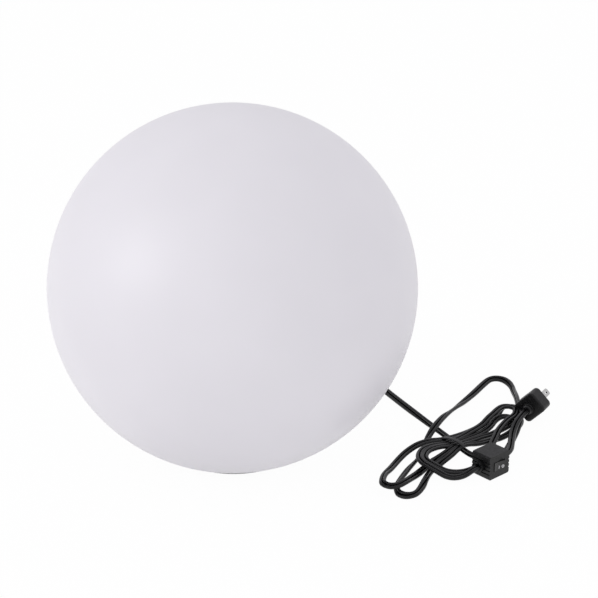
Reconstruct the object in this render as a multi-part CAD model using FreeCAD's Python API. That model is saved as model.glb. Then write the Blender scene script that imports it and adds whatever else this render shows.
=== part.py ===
import FreeCAD, Part
import math
import os

# Garden globe light: an opal polyethylene globe on a black base with a screw lampholder,
# and a flat two-core cord with an in-line switch and a two-blade plug, tied up in a hank.
# Millimetres. Origin on the ground under the middle of the base, +Z up, +Y to the back.

V = FreeCAD.Vector
X_AXIS = V(1, 0, 0)
Y_AXIS = V(0, 1, 0)
Z_AXIS = V(0, 0, 1)

# ---------------------------------------------------------------- driving dimensions

# Clearances
RUN_GAP = 0.35           # between moving pieces that are not a bearing fit
SEAT_GAP = 0.30          # between a piece and the curved or loose seat that holds it
PIVOT_GAP = 0.05         # radial, rocker stub in its ear

# Globe
GLOBE_DIAMETER = 300.0
GLOBE_WALL = 2.5
GLOBE_FLAT_DIAMETER = 116.0
NECK_BORE = 100.0
NECK_WALL = 2.6
NECK_HEIGHT = 16.0

# Twist lock between globe and base: three starts, a third of a turn to free it
LOCK_STARTS = 3
LOCK_LEAD = 36.0
LUG_SWEEP = 24.0
LUG_HEIGHT = 3.0
LUG_REACH = 2.8
LUG_LIFT = 2.0           # lug's low end above the seat
RAMP_SWEEP = 82.0
RAMP_HEIGHT = 2.6
RAMP_STOP_SWEEP = 3.0

# Base
FOOT_DIAMETER = 11.0
FOOT_STAND = 1.0         # height that the feet lift the base
FOOT_RECESS = 0.8
FOOT_COUNT = 4
FOOT_CIRCLE = 43.0
BASE_DIAMETER = 108.0
BASE_PLATE = 2.4
COLLAR_DIAMETER = 91.6
COLLAR_WALL = 2.4
COLLAR_HEIGHT = 17.6
BASE_RIB = 2.0
GASKET_THICKNESS = 1.0
GASKET_OVERHANG = 1.0    # past the base's edge, under the globe's flat

# Lampholder bracket and fixings
BOSS_DIAMETER = 8.0
BOSS_HEIGHT = 5.0
BRACKET_SPAN = 54.0      # between its two screws
BRACKET_WIDTH = 14.0
BRACKET_SHEET = 1.5
BRACKET_RISE = 6.0
BRACKET_TOP = 30.0
SCREW_SHANK = 3.0
SCREW_HEAD = 6.0
SCREW_HEAD_HEIGHT = 2.0
SCREW_LENGTH = 6.0
SCREW_SLOT = 0.8
NIPPLE_DIAMETER = 10.0
NIPPLE_BORE = 7.0
NUT_FLATS = 14.0
NUT_HEIGHT = 2.6

# Lampholder
HOLDER_DIAMETER = 38.0
HOLDER_WALL = 2.2
HOLDER_BASE_HEIGHT = 15.0
HOLDER_BODY_HEIGHT = 33.0
HOLDER_FLOOR = 3.0
HOLDER_SKIRT = 3.0       # how far the mouth flares past the barrel's radius
HOLDER_MOUTH = 10.0      # height of the flared mouth
HOLDER_LEAD_IN = 2.0     # chamfer inside the mouth
HOLDER_GROOVE = 1.2
HOLDER_STEP = 1.0        # how much slimmer the cup is than the barrel
CUP_FOOT = 6.0           # rounded foot of the cup
SHELL_BORE = 26.9
SHELL_WALL = 0.5
SHELL_HEIGHT = 26.0
CONTACT_WIDTH = 6.0
CONTACT_SHEET = 0.6
TERMINAL_BLOCK = 7.0

# Bulb
CAP_DIAMETER = 26.0
CAP_HEIGHT = 21.0
CAP_INSULATOR = 2.4
TIP_DIAMETER = 9.0
TIP_HEIGHT = 1.2
BULB_DIAMETER = 60.0
BULB_HOUSING_HEIGHT = 34.0
BULB_WALL = 1.2
BULB_SHOULDER = 8.0      # straight band under the dome
LED_BOARD_THICKNESS = 1.6
LED_SIZE = 2.8
LED_THICKNESS = 0.7
LED_COUNT = 9
LED_CIRCLE = 15.0
LED_BOARD_DIAMETER = 48.0
LED_BOARD_SINK = 1.0     # how far the board's underside lies below the rim
BULB_RIM = 1.5           # step that centres the diffuser
BULB_NECK_HEIGHT = 6.0
BULB_BAND = 3.0          # straight band under the rim

# Flat cord
CORD_WIDTH = 5.6
CORD_THICKNESS = 2.8
WIRE_DIAMETER = 2.4
CORD_SLOT_REACH = 14.0   # inner end of the slot in the base, from the middle
CORE_SLOT_WIDTH = 6.4    # narrower slot on to the middle, for the stripped cores
CORD_UNDER = 0.4         # height of the cord's underside inside the base
CORD_GROOVE = 0.8        # width of the groove between the two cores
CORD_GROOVE_DEPTH = 0.5
BUSH_WIDTH = 9.6
BUSH_EASE = 0.15         # from the slot's sides
BUSH_RING = 1.0          # width of each groove across the bush
BUSH_CHEEK = 1.1         # wall beside and above the cord at the bush's end
BUSH_START = 40.0        # inner end of the bush, from the middle
BUSH_END = 76.0
BUSH_RISE = 62.0         # where the bush is clear of the globe and grows taller
CLAMP_LENGTH = 24.0
CLAMP_WIDTH = 8.0
CLAMP_HEIGHT = 3.0
CLAMP_AT = 27.0          # from the middle

# Cord routes. The lead runs from the base to the hank and the tail from the switch to the plug.
LEAD_POINTS = [
    (0, 76, 2.9), (0, 98, 2.9), (14, 134, 2.9), (46, 158, 2.9), (86, 160, 2.9), (117, 136, 2.9),
    (135.5, 97, 2.9), (153, 62.5, 2.9), (170, 31, 2.9), (183, 5.5, 2.9), (196.5, -24.4, 2.9), (210.9, -30.2, 2.9),
    (225.3, -24.4, 2.9), (236, 0.5, 2.9), (242, 18, 2.9), (245.9, 36, 2.9), (244.6, 57, 2.9), (247, 77, 2.9),
    (247.5, 97, 2.9), (248.5, 117, 2.9), (236.2, 128.1, 2.9), (220.5, 126.5, 2.9), (206.5, 102, 2.9), (191.5, 69, 4.6),
    (180.5, 43, 11.6), (170.5, 20, 11.6), (163.5, 5, 6.4), (158.43, -7.99, 2.95), (155.47, -15.96, 2.95),
]
TAIL_POINTS = [
    (221.42, -38.93, 10.25), (232.5, -28.95, 10.25), (238.6, -12.5, 9.8), (239.4, 5.5, 10.2), (242.5, 24.19, 13.58),
    (250.0, 37.18, 13.58),
]

# Hank. Its middle is tied, and its loops are listed as the stations that one turn passes:
# along the hank, across it, height, heading in degrees and slope.
HANK_AT = (180.2, -10.6)
HANK_TURN = 50.0
HANK_LOW = 9.7
HANK_HIGH = 16.0
HANK_STATIONS = [
    (-20, 15.5, 2.95, 199.6, 0), (-55, 7.0, 2.95, 190, 0), (-92, -11, 2.95, 268, 0), (-64, -20.5, 3.2, 12, 0.04),
    (0, -6.3, HANK_LOW, 358, 0), (46, -18.3, 4.0, 350, -0.06), (80.5, -3, 2.95, 86, 0), (52, 12.6, 4.2, 184, 0.06),
    (6, 9.0, HANK_LOW, 165, 0), (-13, 19, 9.4, 150, -0.04), (-50, 25, 5.0, 188, 0), (-91, 0, 9.4, 265, 0.04),
    (-66, -11, 9.8, 6, -0.04), (-36, -3.5, 5.6, 10, 0), (0, 0, HANK_LOW, 0, 0), (46, -11.8, 4.4, 350, -0.06),
    (71, -3, 3.0, 86, 0), (46, 4.6, 7.6, 181, 0.24), (0, -3.2, HANK_HIGH, 176, 0), (-20, 2.4, 14.6, 171, -0.08),
    (-41, -11, 12.6, 264, -0.05), (-33, -25.5, 10.6, 305, 0), (-12, -32.3, 9.8, 353, 0), (12, -27.5, 9.8, 16, 0),
    (42, -15, 11.2, 14, 0), (70, -4, 9.9, 86, 0), (44, 9, 14.4, 182, 0.05), (0, 3.8, HANK_HIGH + 0.2, 178, 0),
    (-20, 10.6, 14.6, 176, -0.08), (-48, -11, 13.0, 266, -0.05), (-41, -33.5, 10.4, 313, 0), (-25.9, -45.5, 10.25, 352, 0),
]
HANK_SIDES = 8
TIE_AT = 4.0             # along the hank from its middle
TIE_WIDTH = 4.0
TIE_SHEET = 0.6
TIE_CORNER = 1.5
TIE_INSIDE = (-10.2, 13.8, 6.55, 19.6)   # across the hank and in height

# In-line switch
SWITCH_LENGTH = 24.0
SWITCH_DEPTH = 19.0
SWITCH_HEIGHT = 20.5
SWITCH_WALL = 1.8
SWITCH_CORNER = 1.8
SWITCH_NECK_LENGTH = 3.5
SWITCH_NECK_DIAMETER = 9.0
SWITCH_BOSS = 2.4        # radius round each screw
SWITCH_SCREW = 1.0       # radius of the screws' shanks
SWITCH_SCREW_HEAD = 1.9
SWITCH_SCREW_SINK = 1.4
SWITCH_EAR = 6.0         # width of the ears that carry the rocker
SWITCH_RIBS = 4
SWITCH_RIB_GROOVE = 1.2
SWITCH_RIB_PITCH = 3.4
SWITCH_RIB_DEPTH = 0.7
SWITCH_AT = (209.9, -49.3)
SWITCH_TURN = 42.0       # degrees from +X
ROCKER_LENGTH = 11.2
ROCKER_WIDTH = 7.6
ROCKER_DEPTH = 5.4
ROCKER_PROUD = 1.3
ROCKER_TILT = 8.0
ROCKER_STUB = 2.4
ROCKER_STUB_LENGTH = 1.2
ROCKER_AXIS_DEPTH = 3.2  # pivot below the switch's face

# Plug
PLUG_WIDTH = 23.0        # across both blades
PLUG_THICKNESS = 20.0
PLUG_LENGTH = 14.0
PLUG_CORNER = 4.0
PLUG_NECK_LENGTH = 7.0
PLUG_NECK_ROOT = 11.0
PLUG_NECK_TIP = 7.2
PLUG_AT = (257.0, 49.3)
PLUG_TURN = 60.0         # degrees from +X
PLUG_ROLL = -47.0        # about its own axis
BLADE_SPACING = 12.7
BLADE_WIDTH = 6.35
BLADE_THICKNESS = 1.5
BLADE_LENGTH = 17.0
BLADE_HOLE = 3.5
BLADE_HOLE_BACK = 4.9    # hole's centre from the blade's tip

# ---------------------------------------------------------------- derived places

GLOBE_R = GLOBE_DIAMETER / 2
PLATE_TOP = FOOT_STAND + BASE_PLATE
SEAT_Z = PLATE_TOP + GASKET_THICKNESS
GLOBE_CENTRE_Z = SEAT_Z + math.sqrt(GLOBE_R ** 2 - (GLOBE_FLAT_DIAMETER / 2) ** 2)
COLLAR_R = COLLAR_DIAMETER / 2
RAMP_R = NECK_BORE / 2 - 2 * RUN_GAP
LUG_R = NECK_BORE / 2 - LUG_REACH
BOSS_TOP = PLATE_TOP + BOSS_HEIGHT
BRACKET_DECK = BOSS_TOP + BRACKET_RISE + BRACKET_SHEET
HOLDER_R = HOLDER_DIAMETER / 2
HOLDER_BODY_Z = BRACKET_DECK + HOLDER_BASE_HEIGHT
HOLDER_TOP = HOLDER_BODY_Z + HOLDER_BODY_HEIGHT
SHELL_Z = HOLDER_BODY_Z + HOLDER_FLOOR
CONTACT_TOP = SHELL_Z + 2.0
TIP_Z = CONTACT_TOP + SEAT_GAP
CAP_Z = TIP_Z + TIP_HEIGHT + CAP_INSULATOR
HOUSING_Z = CAP_Z + CAP_HEIGHT
BULB_R = BULB_DIAMETER / 2
BOARD_Z = HOUSING_Z + BULB_HOUSING_HEIGHT
DOME_Z = BOARD_Z + BULB_SHOULDER


def ring(outer_r, inner_r, z_low, z_high):
    outer = Part.makeCylinder(outer_r, z_high - z_low, V(0, 0, z_low))
    inner = Part.makeCylinder(inner_r, z_high - z_low, V(0, 0, z_low))
    return outer.cut(inner)


def disc(radius, z_low, z_high, x=0.0, y=0.0):
    return Part.makeCylinder(radius, z_high - z_low, V(x, y, z_low))


def block(x_low, x_high, y_low, y_high, z_low, z_high):
    return Part.makeBox(x_high - x_low, y_high - y_low, z_high - z_low, V(x_low, y_low, z_low))


def revolved(points):
    """Solid of revolution about Z from (radius, height) points, or a 3-tuple for an arc's middle."""
    edges = []
    ends = [p for p in points if len(p) == 2]
    start = ends[0]
    here = start
    middle = None
    for point in list(points[1:]) + [start]:
        if len(point) == 3:
            middle = point
            continue
        a = V(here[0], 0, here[1])
        b = V(point[0], 0, point[1])
        if middle is None:
            edges.append(Part.LineSegment(a, b).toShape())
        else:
            edges.append(Part.Arc(a, V(middle[0], 0, middle[1]), b).toShape())
            middle = None
        here = point
    face = Part.Face(Part.Wire(edges))
    return face.revolve(V(0, 0, 0), Z_AXIS, 360)


def on_circle(shape, count, start=0.0):
    """Copies of a shape spread evenly about Z."""
    copies = []
    for i in range(count):
        copy = shape.copy()
        copy.rotate(V(0, 0, 0), Z_AXIS, start + i * 360.0 / count)
        copies.append(copy)
    return copies


def helical_rib(inner_r, outer_r, z_low, height, start, sweep):
    """A rectangular rib that climbs with the lock's lead, from angle start over sweep degrees."""
    rise = LOCK_LEAD * sweep / 360.0
    mean_r = (inner_r + outer_r) / 2
    spine = Part.makeHelix(LOCK_LEAD, rise, mean_r)
    corners = [V(inner_r, 0, 0), V(outer_r, 0, 0), V(outer_r, 0, height), V(inner_r, 0, height)]
    section = Part.makePolygon(corners + [corners[0]])
    rib = Part.Wire(spine.Edges).makePipeShell([section], True, True)
    rib.rotate(V(0, 0, 0), Z_AXIS, start)
    rib.translate(V(0, 0, z_low))
    return rib


def globe_shell():
    flat_r = GLOBE_FLAT_DIAMETER / 2
    inner_r = GLOBE_R - GLOBE_WALL
    floor_z = SEAT_Z + GLOBE_WALL
    inner_flat_r = math.sqrt(inner_r ** 2 - (GLOBE_CENTRE_Z - floor_z) ** 2)
    bore_r = NECK_BORE / 2
    neck_r = bore_r + NECK_WALL
    neck_top = SEAT_Z + NECK_HEIGHT
    profile = [
        (bore_r, SEAT_Z),
        (flat_r, SEAT_Z),
        (GLOBE_R, GLOBE_CENTRE_Z, "arc"),
        (0, GLOBE_CENTRE_Z + GLOBE_R),
        (0, GLOBE_CENTRE_Z + inner_r),
        (inner_r, GLOBE_CENTRE_Z, "arc"),
        (inner_flat_r, floor_z),
        (neck_r, floor_z),
        (neck_r, neck_top),
        (bore_r, neck_top),
    ]
    shell = revolved(profile)
    lug = helical_rib(LUG_R, bore_r + NECK_WALL / 2, SEAT_Z + LUG_LIFT, LUG_HEIGHT, 0, LUG_SWEEP)
    for copy in on_circle(lug, LOCK_STARTS):
        shell = shell.fuse(copy)
    return shell


def globe_gasket():
    return ring(BASE_DIAMETER / 2 + GASKET_OVERHANG, NECK_BORE / 2, PLATE_TOP, SEAT_Z)


# ---------------------------------------------------------------- base

def base_pan():
    plate = disc(BASE_DIAMETER / 2, FOOT_STAND, PLATE_TOP)
    collar_top = PLATE_TOP + COLLAR_HEIGHT
    pan = plate.fuse(ring(COLLAR_R, COLLAR_R - COLLAR_WALL, PLATE_TOP, collar_top))
    ramp_z = SEAT_Z + LUG_LIFT + LUG_HEIGHT + RUN_GAP
    root_r = COLLAR_R - COLLAR_WALL / 2
    ramp = helical_rib(root_r, RAMP_R, ramp_z, RAMP_HEIGHT, 0, RAMP_SWEEP)
    stop = helical_rib(root_r, RAMP_R, PLATE_TOP, ramp_z + RAMP_HEIGHT - PLATE_TOP,
                       -RAMP_STOP_SWEEP - 1.0, RAMP_STOP_SWEEP)
    for copy in on_circle(ramp, LOCK_STARTS) + on_circle(stop, LOCK_STARTS):
        pan = pan.fuse(copy)
    for side in (-1, 1):
        x = side * BRACKET_SPAN / 2
        pan = pan.fuse(disc(BOSS_DIAMETER / 2, PLATE_TOP, BOSS_TOP, x, 0))
        inner = x + side * BOSS_DIAMETER / 4
        outer = side * (COLLAR_R - COLLAR_WALL / 2)
        web = block(min(inner, outer), max(inner, outer), -BASE_RIB / 2, BASE_RIB / 2, PLATE_TOP, BOSS_TOP)
        pan = pan.fuse(web)
    for x in (-1, 1):
        pan = pan.fuse(disc(BOSS_DIAMETER / 2, PLATE_TOP, PLATE_TOP + CORD_THICKNESS / 2,
                            x * CLAMP_LENGTH / 3, CLAMP_AT))
    pilot = SCREW_SHANK / 2
    for x, y, z in screw_places():
        pan = pan.cut(disc(pilot, z - SCREW_LENGTH, z + 20, x, y))
    slot = block(-BUSH_WIDTH / 2, BUSH_WIDTH / 2, CORD_SLOT_REACH, BASE_DIAMETER, 0, PLATE_TOP)
    pan = pan.cut(slot)
    core_slot = block(-CORE_SLOT_WIDTH / 2, CORE_SLOT_WIDTH / 2, 0, CORD_SLOT_REACH + 1, 0, PLATE_TOP + 2)
    pan = pan.cut(core_slot)
    for recess in on_circle(foot_solid(), FOOT_COUNT, 45):
        pan = pan.cut(recess)
    return pan


def foot_solid():
    return disc(FOOT_DIAMETER / 2, 0, FOOT_STAND + FOOT_RECESS, FOOT_CIRCLE, 0)


def foot_pads():
    return Part.makeCompound(on_circle(foot_solid(), FOOT_COUNT, 45))


def screw_places():
    """Undersides of the heads of the base's screws: two for the bracket, two for the clamp."""
    clamp_z = PLATE_TOP + CORD_THICKNESS / 2 + CLAMP_HEIGHT
    places = []
    for side in (-1, 1):
        places.append((side * BRACKET_SPAN / 2, 0, BOSS_TOP + BRACKET_SHEET))
    for side in (-1, 1):
        places.append((side * CLAMP_LENGTH / 3, CLAMP_AT, clamp_z))
    return places


def screw(x, y, z):
    """A slotted pan-head screw that points down, with the underside of its head at z."""
    head = disc(SCREW_HEAD / 2, z, z + SCREW_HEAD_HEIGHT, x, y)
    head = head.makeFillet(SCREW_HEAD_HEIGHT / 3, [head.Edges[0]])
    slot = block(x - SCREW_HEAD, x + SCREW_HEAD, y - SCREW_SLOT / 2, y + SCREW_SLOT / 2,
                 z + SCREW_HEAD_HEIGHT / 2, z + SCREW_HEAD_HEIGHT + 1)
    shank = disc(SCREW_SHANK / 2, z - SCREW_LENGTH, z, x, y)
    return head.fuse(shank).cut(slot)


def bracket_screws():
    return Part.makeCompound([screw(*place) for place in screw_places()[:2]])


def clamp_screws():
    return Part.makeCompound([screw(*place) for place in screw_places()[2:]])


def lamp_bracket():
    """A bent strip of sheet: two feet, two risers and a deck that the lampholder stands on."""
    half = BRACKET_SPAN / 2 + BRACKET_WIDTH / 2
    deck_half = BRACKET_TOP / 2
    under = BRACKET_DECK - BRACKET_SHEET
    outline = [
        V(-half, 0, BOSS_TOP),
        V(-deck_half, 0, BOSS_TOP),
        V(-deck_half, 0, under),
        V(deck_half, 0, under),
        V(deck_half, 0, BOSS_TOP),
        V(half, 0, BOSS_TOP),
        V(half, 0, BOSS_TOP + BRACKET_SHEET),
        V(deck_half + BRACKET_SHEET, 0, BOSS_TOP + BRACKET_SHEET),
        V(deck_half + BRACKET_SHEET, 0, BRACKET_DECK),
        V(-deck_half - BRACKET_SHEET, 0, BRACKET_DECK),
        V(-deck_half - BRACKET_SHEET, 0, BOSS_TOP + BRACKET_SHEET),
        V(-half, 0, BOSS_TOP + BRACKET_SHEET),
    ]
    face = Part.Face(Part.makePolygon(outline + [outline[0]]))
    strip = face.extrude(V(0, BRACKET_WIDTH, 0))
    strip.translate(V(0, -BRACKET_WIDTH / 2, 0))
    strip = strip.cut(disc(NIPPLE_DIAMETER / 2, under - 1, BRACKET_DECK + 1))
    for side in (-1, 1):
        hole = disc(SCREW_SHANK / 2, BOSS_TOP - 1, BOSS_TOP + BRACKET_SHEET + 1, side * BRACKET_SPAN / 2, 0)
        strip = strip.cut(hole)
    return strip


def nipple_low():
    return BRACKET_DECK - BRACKET_SHEET - NUT_HEIGHT - 1.0


def holder_nipple():
    return ring(NIPPLE_DIAMETER / 2, NIPPLE_BORE / 2, nipple_low(), BRACKET_DECK + HOLDER_FLOOR + NUT_HEIGHT + 1.0)


def hexagon(flats, z_low, z_high):
    corner = flats / math.sqrt(3)
    points = [V(corner * math.cos(math.radians(60 * i)), corner * math.sin(math.radians(60 * i)), z_low)
              for i in range(7)]
    return Part.Face(Part.makePolygon(points)).extrude(V(0, 0, z_high - z_low))


def nipple_nuts():
    """One nut under the bracket and one inside the lampholder's base."""
    under = BRACKET_DECK - BRACKET_SHEET
    inside = BRACKET_DECK + HOLDER_FLOOR
    nuts = []
    for z_low in (under - NUT_HEIGHT, inside):
        nut = hexagon(NUT_FLATS, z_low, z_low + NUT_HEIGHT)
        nuts.append(nut.cut(disc(NIPPLE_DIAMETER / 2, z_low - 1, z_low + NUT_HEIGHT + 1)))
    return Part.makeCompound(nuts)


# ---------------------------------------------------------------- lampholder

def lampholder_base():
    """Cup that stands on the bracket and takes the nipple and the wires."""
    cup_r = HOLDER_R - HOLDER_STEP
    foot_share = 1 - math.sqrt(0.5)
    profile = [
        (NIPPLE_DIAMETER / 2, BRACKET_DECK),
        (cup_r - CUP_FOOT, BRACKET_DECK),
        (cup_r - CUP_FOOT * foot_share, BRACKET_DECK + CUP_FOOT * foot_share, "arc"),
        (cup_r, BRACKET_DECK + CUP_FOOT),
        (cup_r, HOLDER_BODY_Z),
        (cup_r - HOLDER_WALL, HOLDER_BODY_Z),
        (cup_r - HOLDER_WALL, BRACKET_DECK + HOLDER_FLOOR),
        (NIPPLE_DIAMETER / 2, BRACKET_DECK + HOLDER_FLOOR),
    ]
    return revolved(profile)


def lampholder_body():
    """Barrel round the screw shell, with a floor for the contacts and a flared mouth."""
    bore_r = SHELL_BORE / 2 + SHELL_WALL
    lip_r = HOLDER_R + HOLDER_SKIRT
    profile = [
        (0, HOLDER_BODY_Z),
        (HOLDER_R, HOLDER_BODY_Z),
        (HOLDER_R, HOLDER_TOP - HOLDER_MOUTH),
        (lip_r, HOLDER_TOP - HOLDER_MOUTH + HOLDER_SKIRT),
        (lip_r, HOLDER_TOP),
        (bore_r + HOLDER_LEAD_IN, HOLDER_TOP),
        (bore_r, HOLDER_TOP - HOLDER_LEAD_IN),
        (bore_r, SHELL_Z),
        (0, SHELL_Z),
    ]
    body = revolved(profile)
    groove_z = HOLDER_BODY_Z + HOLDER_MOUTH / 2
    groove = ring(HOLDER_R + 1, HOLDER_R - HOLDER_GROOVE * 2 / 3, groove_z, groove_z + HOLDER_GROOVE)
    body = body.cut(groove)
    for side in (-1, 1):
        body = body.cut(terminal_pocket(side))
    return body


def terminal_pocket(side):
    """Hole through the barrel's floor where a terminal leads down to its wire."""
    x = side * TERMINAL_BLOCK
    return disc(WIRE_DIAMETER / 2 + 0.6, HOLDER_BODY_Z - 1, SHELL_Z + 1, x, 0)


def screw_shell():
    bore_r = SHELL_BORE / 2
    shell = ring(bore_r + SHELL_WALL, bore_r, SHELL_Z, SHELL_Z + SHELL_HEIGHT)
    tab = disc(WIRE_DIAMETER / 2, HOLDER_BODY_Z - 3, SHELL_Z + CONTACT_SHEET, TERMINAL_BLOCK, 0)
    foot = block(TERMINAL_BLOCK - WIRE_DIAMETER / 2, bore_r, -CONTACT_WIDTH / 2, CONTACT_WIDTH / 2,
                 SHELL_Z, SHELL_Z + CONTACT_SHEET)
    return shell.fuse(foot).fuse(tab)


def centre_contact():
    """Springy strip that rises to the middle, with its leg down through the floor."""
    x = -TERMINAL_BLOCK
    half = CONTACT_WIDTH / 2
    outline = [
        V(x - 1.5, 0, SHELL_Z),
        V(x + 2.5, 0, SHELL_Z),
        V(-1.5, 0, CONTACT_TOP - CONTACT_SHEET),
        V(2.5, 0, CONTACT_TOP - CONTACT_SHEET),
        V(2.5, 0, CONTACT_TOP),
        V(-2.0, 0, CONTACT_TOP),
        V(x + 2.0, 0, SHELL_Z + CONTACT_SHEET),
        V(x - 1.5, 0, SHELL_Z + CONTACT_SHEET),
    ]
    strip = Part.Face(Part.makePolygon(outline + [outline[0]])).extrude(V(0, CONTACT_WIDTH, 0))
    strip.translate(V(0, -half, 0))
    leg = disc(WIRE_DIAMETER / 2, HOLDER_BODY_Z - 3, SHELL_Z + CONTACT_SHEET / 2, x, 0)
    return strip.fuse(leg)


# ---------------------------------------------------------------- bulb

def bulb_contact():
    tip = disc(TIP_DIAMETER / 2, TIP_Z, TIP_Z + TIP_HEIGHT)
    return tip.makeFillet(TIP_HEIGHT * 0.6, [tip.Edges[2]])


def bulb_insulator():
    low = TIP_Z + TIP_HEIGHT
    return Part.makeCone(TIP_DIAMETER / 2 + 0.5, CAP_DIAMETER / 2 - 2.0, CAP_INSULATOR, V(0, 0, low))


def bulb_cap():
    cap_r = CAP_DIAMETER / 2
    profile = [
        (0, CAP_Z),
        (cap_r - 2.0, CAP_Z),
        (cap_r, CAP_Z + 2.0),
        (cap_r, HOUSING_Z),
        (0, HOUSING_Z),
    ]
    return revolved(profile)


def bulb_housing():
    """Heat-sink body: a neck in the lampholder's mouth that flares to the bulb's full width."""
    neck_r = CAP_DIAMETER / 2 + 0.4
    rim_r = BULB_R - BULB_WALL - SEAT_GAP
    well_r = LED_BOARD_DIAMETER / 2
    flare_r = neck_r + (BULB_R - neck_r) / 3
    profile = [
        (0, HOUSING_Z),
        (neck_r, HOUSING_Z),
        (neck_r, HOUSING_Z + BULB_NECK_HEIGHT),
        (flare_r, (HOUSING_Z + BULB_NECK_HEIGHT + BOARD_Z - BULB_BAND) / 2, "arc"),
        (BULB_R, BOARD_Z - BULB_BAND),
        (BULB_R, BOARD_Z),
        (rim_r, BOARD_Z),
        (rim_r, BOARD_Z + BULB_RIM),
        (well_r, BOARD_Z + BULB_RIM),
        (well_r, BOARD_Z - LED_BOARD_SINK),
        (0, BOARD_Z - LED_BOARD_SINK),
    ]
    return revolved(profile)


def led_board():
    low = BOARD_Z - LED_BOARD_SINK
    return disc(LED_BOARD_DIAMETER / 2 - SEAT_GAP, low, low + LED_BOARD_THICKNESS)


def led_chips():
    low = BOARD_Z - LED_BOARD_SINK + LED_BOARD_THICKNESS
    half = LED_SIZE / 2
    chip = block(LED_CIRCLE - half, LED_CIRCLE + half, -half, half, low, low + LED_THICKNESS)
    return Part.makeCompound(on_circle(chip, LED_COUNT))


def bulb_diffuser():
    """Opal dome that sits on the housing's rim."""
    inner_r = BULB_R - BULB_WALL
    profile = [
        (inner_r, BOARD_Z),
        (BULB_R, BOARD_Z),
        (BULB_R, DOME_Z),
        (BULB_R * math.sqrt(0.5), DOME_Z + BULB_R * math.sqrt(0.5), "arc"),
        (0, DOME_Z + BULB_R),
        (0, DOME_Z + inner_r),
        (inner_r * math.sqrt(0.5), DOME_Z + inner_r * math.sqrt(0.5), "arc"),
        (inner_r, DOME_Z),
    ]
    return revolved(profile)


# ---------------------------------------------------------------- cord inside the base

def cord_bush():
    """Flat strain relief in the base's slot, low under the globe and taller outside it."""
    half = BUSH_WIDTH / 2 - BUSH_EASE
    low_top = PLATE_TOP - SEAT_GAP / 3
    far_top = CORD_WIDTH + BUSH_CHEEK / 2
    inner = block(-half, half, BUSH_START, BUSH_RISE, CORD_UNDER, low_top)
    near = section_rectangle(2 * half, CORD_UNDER, low_top, BUSH_RISE)
    far = section_rectangle(CORD_WIDTH + 2 * BUSH_CHEEK, CORD_UNDER, far_top, BUSH_END)
    bush = inner.fuse(Part.makeLoft([near, far], True, True))
    rings = 3
    for i in range(1, rings + 1):
        share = i / (rings + 1)
        y = BUSH_RISE + share * (BUSH_END - BUSH_RISE)
        floor_z = low_top + share * (far_top - low_top) - BUSH_RING / 2
        bush = bush.cut(block(-BUSH_WIDTH, BUSH_WIDTH, y - BUSH_RING / 2, y + BUSH_RING / 2, floor_z, far_top + 1))
    channel = block(-CORD_WIDTH / 2, CORD_WIDTH / 2, BUSH_START - 1, BUSH_RISE, 0, CORD_UNDER + CORD_THICKNESS)
    return bush.cut(channel)


def section_rectangle(width, z_low, z_high, y):
    half = width / 2
    points = [V(-half, y, z_low), V(half, y, z_low), V(half, y, z_high), V(-half, y, z_high)]
    return Part.makePolygon(points + [points[0]])


def cord_inlet():
    """The flat cord's stretch from the bush to its stripped end under the lampholder."""
    top = CORD_UNDER + CORD_THICKNESS
    half = CORD_GROOVE / 2
    flat = block(-CORD_WIDTH / 2, CORD_WIDTH / 2, CORD_SLOT_REACH + 1, BUSH_RISE, CORD_UNDER, top)
    for low, high in ((CORD_UNDER, CORD_UNDER + CORD_GROOVE_DEPTH), (top - CORD_GROOVE_DEPTH, top)):
        flat = flat.cut(block(-half, half, CORD_SLOT_REACH, BUSH_RISE + 1, low, high))
    return flat


def cord_clamp():
    low = PLATE_TOP + CORD_THICKNESS / 2
    half = CLAMP_LENGTH / 2
    bar = block(-half, half, CLAMP_AT - CLAMP_WIDTH / 2, CLAMP_AT + CLAMP_WIDTH / 2, low, low + CLAMP_HEIGHT)
    upright = [edge for edge in bar.Edges if abs(edge.tangentAt(edge.FirstParameter).z) > 0.9]
    bar = bar.makeFillet(CLAMP_WIDTH / 3, upright)
    tongue = block(-CORD_WIDTH / 2, CORD_WIDTH / 2, CLAMP_AT - CLAMP_WIDTH / 4, CLAMP_AT + CLAMP_WIDTH / 4,
                   CORD_UNDER + CORD_THICKNESS, low)
    bar = bar.fuse(tongue)
    for side in (-1, 1):
        bar = bar.cut(disc(SCREW_SHANK / 2, low - 1, low + CLAMP_HEIGHT + 1, side * CLAMP_LENGTH / 3, CLAMP_AT))
    return bar


def tube_along(points, radii, diameter):
    """Round tube along straight runs joined by tangent arcs of the given radii."""
    edges = []
    here = points[0]
    for i in range(1, len(points) - 1):
        back = (points[i - 1] - points[i]).normalize()
        ahead = (points[i + 1] - points[i]).normalize()
        turn = math.pi - back.getAngle(ahead)
        reach = radii[i - 1] * math.tan(turn / 2)
        start = points[i] + back * reach
        end = points[i] + ahead * reach
        bisector = (back + ahead).normalize()
        middle = points[i] + bisector * (radii[i - 1] * (1 / math.cos(turn / 2) - 1))
        edges.append(Part.LineSegment(here, start).toShape())
        edges.append(Part.Arc(start, middle, end).toShape())
        here = end
    edges.append(Part.LineSegment(here, points[-1]).toShape())
    path = Part.Wire(edges)
    heading = (points[1] - points[0]).normalize()
    section = Part.Wire(Part.makeCircle(diameter / 2, points[0], heading))
    return path, path.makePipeShell([section], True, False)


def route_radii(points):
    """Arc radius at each inner point: 0.45 of the shorter run over the tangent of half the turn."""
    radii = []
    for i in range(1, len(points) - 1):
        back = points[i - 1] - points[i]
        ahead = points[i + 1] - points[i]
        turn = math.pi - back.getAngle(ahead)
        radii.append(0.45 * min(back.Length, ahead.Length) / math.tan(turn / 2))
    return radii


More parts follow.
